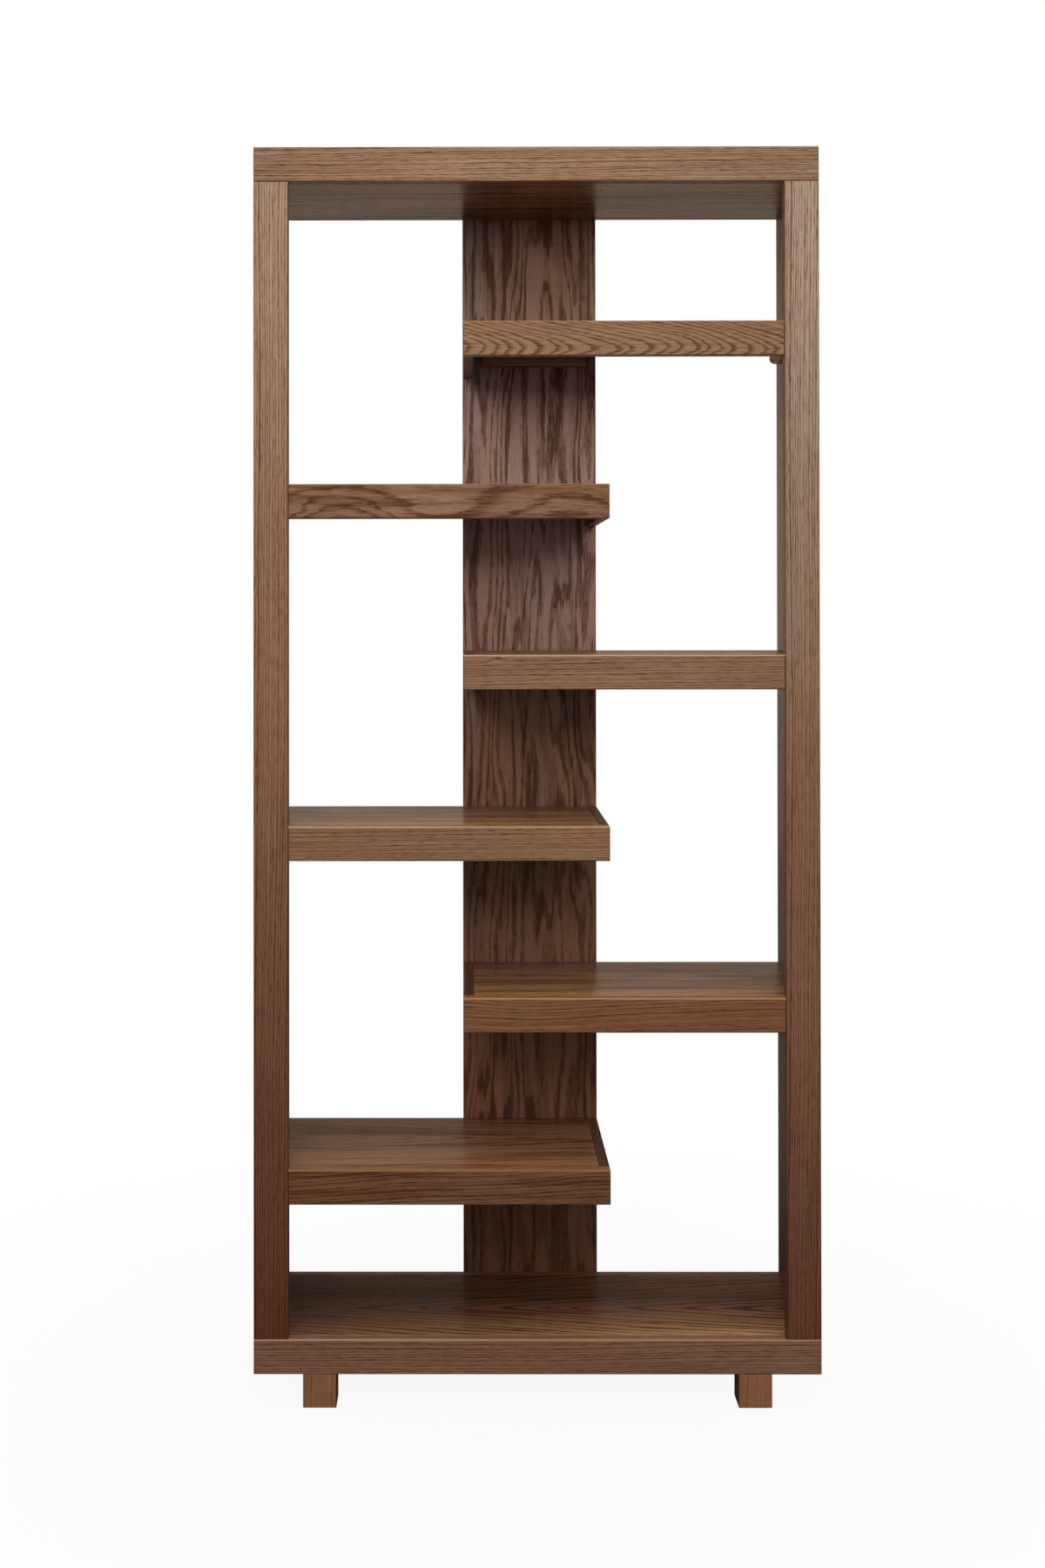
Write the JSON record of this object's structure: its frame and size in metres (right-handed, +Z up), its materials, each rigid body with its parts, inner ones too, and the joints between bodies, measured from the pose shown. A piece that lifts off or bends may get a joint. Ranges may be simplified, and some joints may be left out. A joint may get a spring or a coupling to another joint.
{
  "type": "staircase bookshelf",
  "caption": "Tall open bookcase in brown oak: framed sides, top and base on block feet, with half-width shelves stepping up left and right of a central spine board.",
  "frame": {"origin": "on the floor, in the middle of the plan of the bookcase", "axes": "+X to the viewer's right, +Y from the front to the back, +Z up"},
  "size_m": [0.85, 0.32, 1.89],
  "materials": {
    "oak_solid": "brown-stained oak, satin lacquer",
    "oak_veneer": "brown-stained oak veneer, satin lacquer",
    "oak_spine": "crown-cut oak veneer, stained brown, satin lacquer",
    "oak_cleat": "brown-stained oak, satin lacquer",
    "inner_wood": "bare beech and pine",
    "steel": "zinc-plated, satin"
  },
  "bodies": {
    "root": {"base_back_rail": "oak_solid", "base_core_battens": "inner_wood", "base_front_rail": "oak_solid", "base_left_end_rail": "oak_solid", "base_lower_panel": "oak_veneer", "base_right_end_rail": "oak_solid", "base_upper_panel": "oak_veneer", "dowels": "inner_wood", "foot_back_left": "oak_solid", "foot_back_right": "oak_solid", "foot_front_left": "oak_solid", "foot_front_right": "oak_solid", "foot_screws": "steel", "left_front_stile": "oak_solid", "left_side_panel": "oak_veneer", "right_front_stile": "oak_solid", "right_side_panel": "oak_veneer", "shelf_1_end_rail": "oak_solid", "shelf_1_front_rail": "oak_solid", "shelf_1_panel": "oak_veneer", "shelf_1_side_cleat": "oak_cleat", "shelf_1_spine_cleat": "oak_cleat", "shelf_2_end_rail": "oak_solid", "shelf_2_front_rail": "oak_solid", "shelf_2_panel": "oak_veneer", "shelf_2_side_cleat": "oak_cleat", "shelf_2_spine_cleat": "oak_cleat", "shelf_3_end_rail": "oak_solid", "shelf_3_front_rail": "oak_solid", "shelf_3_panel": "oak_veneer", "shelf_3_side_cleat": "oak_cleat", "shelf_3_spine_cleat": "oak_cleat", "shelf_4_end_rail": "oak_solid", "shelf_4_front_rail": "oak_solid", "shelf_4_panel": "oak_veneer", "shelf_4_side_cleat": "oak_cleat", "shelf_4_spine_cleat": "oak_cleat", "shelf_5_end_rail": "oak_solid", "shelf_5_front_rail": "oak_solid", "shelf_5_panel": "oak_veneer", "shelf_5_side_cleat": "oak_cleat", "shelf_5_spine_cleat": "oak_cleat", "shelf_6_end_rail": "oak_solid", "shelf_6_front_rail": "oak_solid", "shelf_6_panel": "oak_veneer", "shelf_6_side_cleat": "oak_cleat", "shelf_6_spine_cleat": "oak_cleat", "shelf_screws": "steel", "side_cleat_screws": "steel", "spine_cleat_screws": "steel", "spine_panel": "oak_spine", "spine_screws": "steel", "top_back_rail": "oak_solid", "top_core_battens": "inner_wood", "top_front_rail": "oak_solid", "top_left_end_rail": "oak_solid", "top_lower_panel": "oak_veneer", "top_right_end_rail": "oak_solid", "top_upper_panel": "oak_veneer"}
  },
  "joints": []
}
